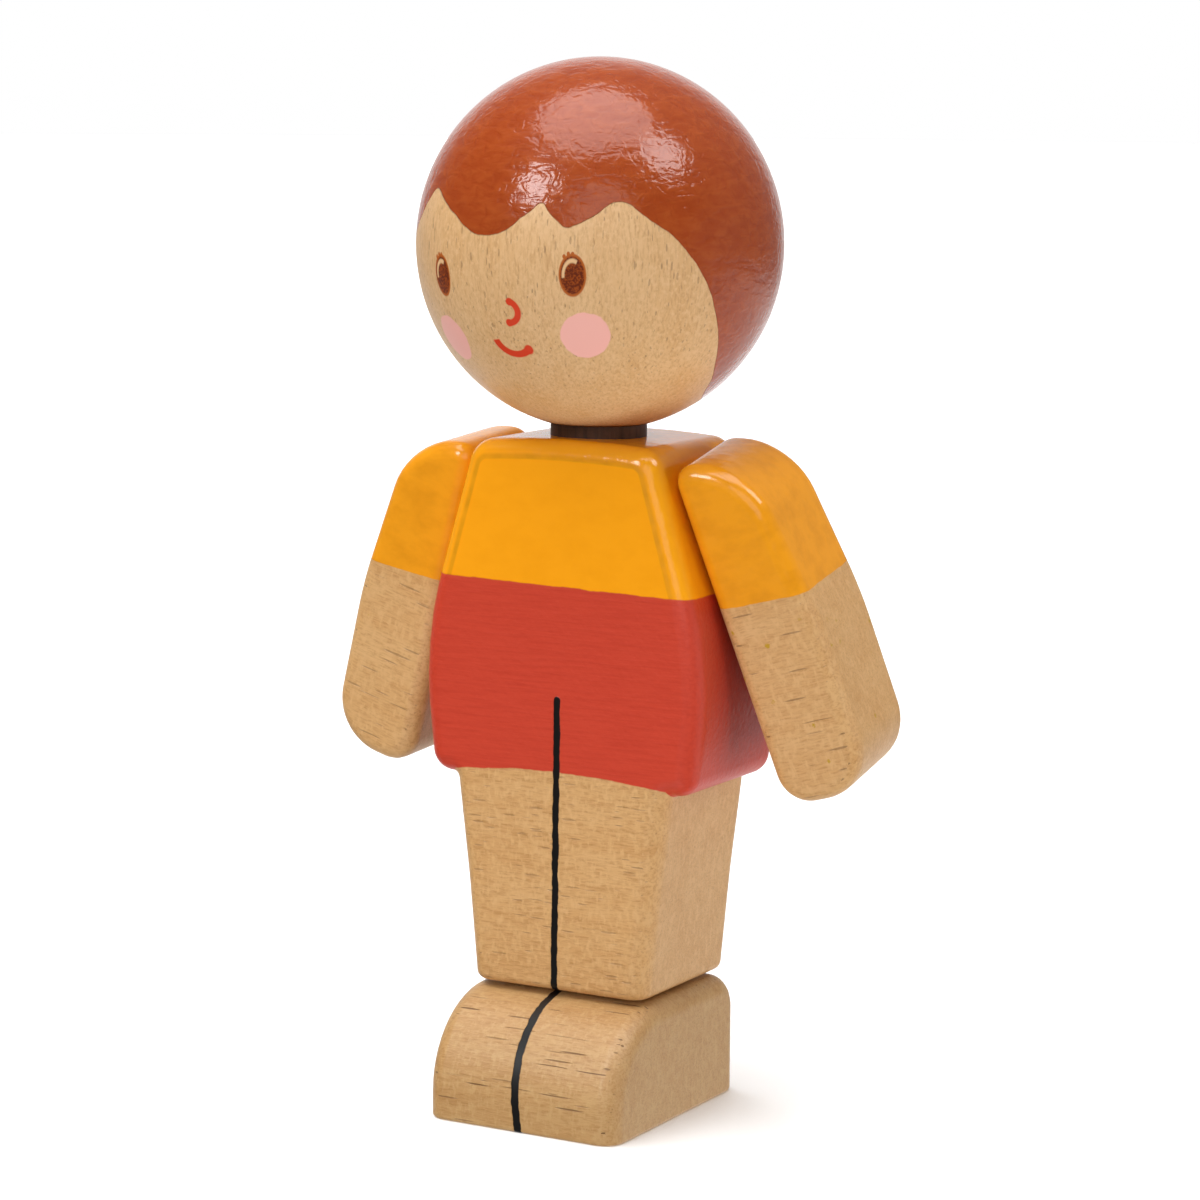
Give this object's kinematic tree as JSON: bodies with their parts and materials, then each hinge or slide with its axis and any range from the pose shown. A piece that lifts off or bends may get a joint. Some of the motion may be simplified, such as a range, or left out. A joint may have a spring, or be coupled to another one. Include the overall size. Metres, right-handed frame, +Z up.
{
  "type": "wooden toy figure",
  "caption": "Wooden toy figure with a turned ball head on a round neck, a painted plank body on a foot block, and arms that swing at the shoulders.",
  "frame": {"origin": "on the neck's axis, at the underside of the foot block", "axes": "+Z up along the neck, the figure faces -Y, its left hand is on +X"},
  "size_m": [0.0563, 0.035, 0.1012],
  "materials": {
    "head_wood": "clear satin lacquer over bare wood, with a glossy painted cap of hair and a painted face",
    "body_wood": "glossy painted shirt and satin painted shorts over wood, bare lacquered legs",
    "bare_wood": "clear satin lacquer over bare wood",
    "arm_wood": "clear satin lacquer over bare wood, glossy painted sleeves",
    "dowel_wood": "plain sanded dowel rod",
    "ring_rubber": "matte rubber"
  },
  "bodies": {
    "torso": {"body": "body_wood", "foot_block": "bare_wood", "ankle_dowel_left": "dowel_wood", "ankle_dowel_right": "dowel_wood", "neck_dowel": "dowel_wood", "neck_ring": "ring_rubber"},
    "head": {"head": "head_wood"},
    "left_arm": {"arm_left": "arm_wood", "shoulder_peg_left": "dowel_wood", "shoulder_ring_left": "ring_rubber"},
    "right_arm": {"arm_right": "arm_wood", "shoulder_peg_right": "dowel_wood", "shoulder_ring_right": "ring_rubber"}
  },
  "joints": [
    {"name": "head_turn", "type": "hinge", "parent": "torso", "child": "head", "pos_m": [0, 0, 0.0835], "axis": [0, 0, 1], "continuous": true},
    {"name": "left_arm_swing", "type": "hinge", "parent": "torso", "child": "left_arm", "pos_m": [0.01225, 0.001, 0.057], "axis": [0.9603, 0, 0.279], "range_deg": [-136, 118]},
    {"name": "right_arm_swing", "type": "hinge", "parent": "torso", "child": "right_arm", "pos_m": [-0.01225, 0.001, 0.057], "axis": [-0.9603, 0, 0.279], "range_deg": [-124, 129.5]}
  ]
}
